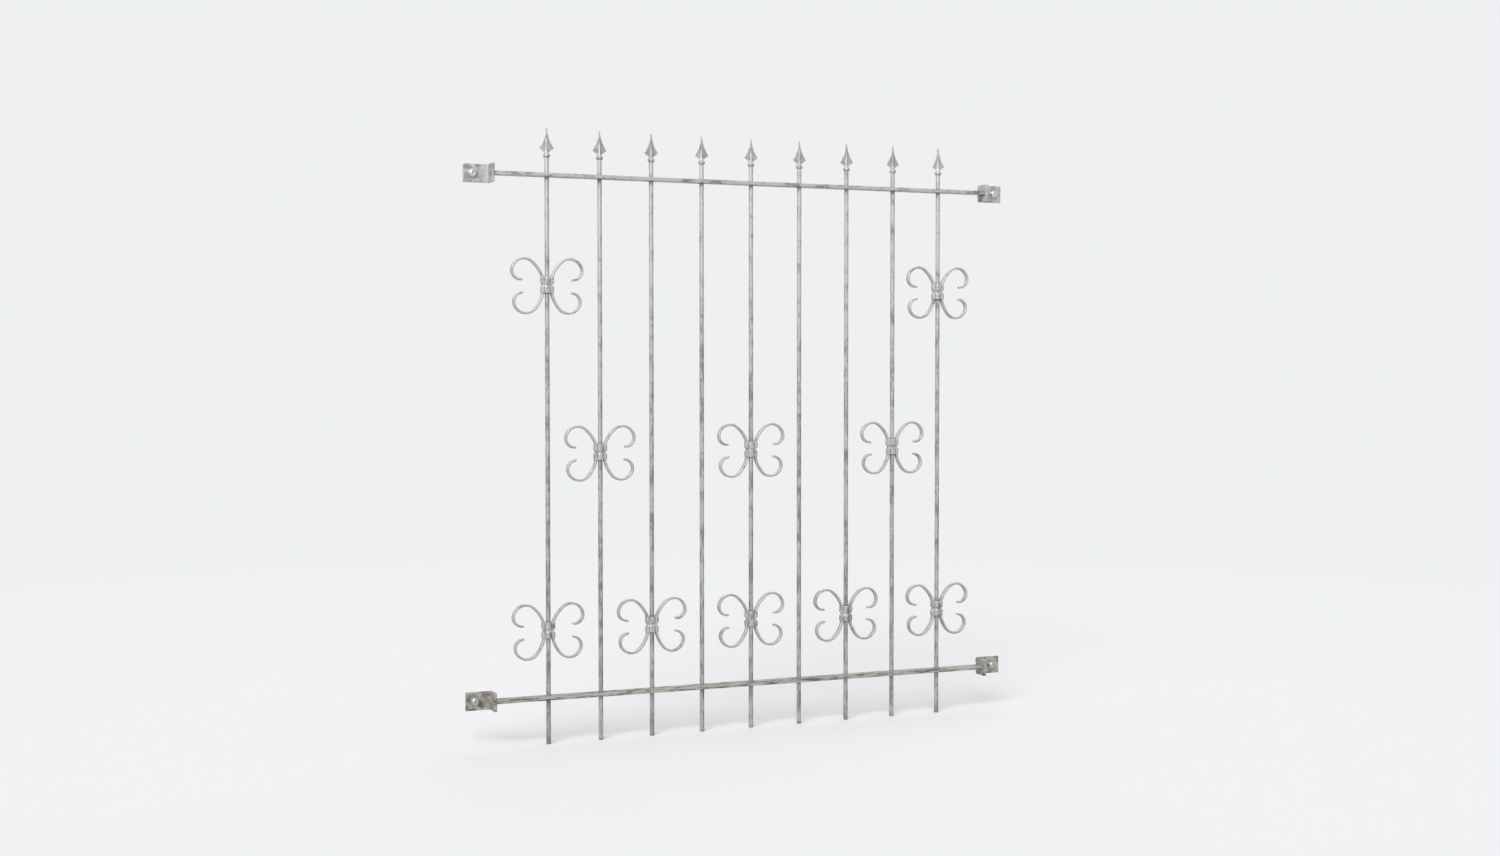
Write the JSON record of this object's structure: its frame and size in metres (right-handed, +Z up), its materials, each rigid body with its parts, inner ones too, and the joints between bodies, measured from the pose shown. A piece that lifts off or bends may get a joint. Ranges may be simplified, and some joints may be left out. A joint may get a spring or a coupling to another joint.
{
  "type": "window grille",
  "caption": "Galvanised steel window grille: round uprights with spear finials through two flat rails, C-scrolls clasped by ribbed collars, and wall brackets with screws.",
  "frame": {"origin": "on the wall's face, midway between the four wall screws", "axes": "+X along the rails, to the right as seen from the room or street side in front; +Y into the wall; +Z up"},
  "size_m": [1.32, 0.11, 1.3394],
  "materials": {
    "round_bar": "hot-dip galvanised, weathered",
    "flat_rail": "hot-dip galvanised, weathered",
    "scroll_strip": "hot-dip galvanised, weathered",
    "collar": "hot-dip galvanised, weathered",
    "finial": "hot-dip galvanised, weathered",
    "bracket": "hot-dip galvanised, weathered",
    "fastener": "bright zinc plated"
  },
  "bodies": {
    "root": {"bar_1": "round_bar", "bar_2": "round_bar", "bar_3": "round_bar", "bar_4": "round_bar", "bar_5": "round_bar", "bar_6": "round_bar", "bar_7": "round_bar", "bar_8": "round_bar", "bar_9": "round_bar", "spear_finials": "finial", "upper_rail": "flat_rail", "lower_rail": "flat_rail", "upper_left_bracket": "bracket", "upper_right_bracket": "bracket", "lower_left_bracket": "bracket", "lower_right_bracket": "bracket", "upper_scrolls": "scroll_strip", "middle_scrolls": "scroll_strip", "lower_scrolls": "scroll_strip", "upper_collar_1": "collar", "upper_collar_9": "collar", "middle_collar_2": "collar", "middle_collar_5": "collar", "middle_collar_8": "collar", "lower_collar_1": "collar", "lower_collar_3": "collar", "lower_collar_5": "collar", "lower_collar_7": "collar", "lower_collar_9": "collar", "wall_washers": "fastener", "wall_screws": "fastener"}
  },
  "joints": []
}
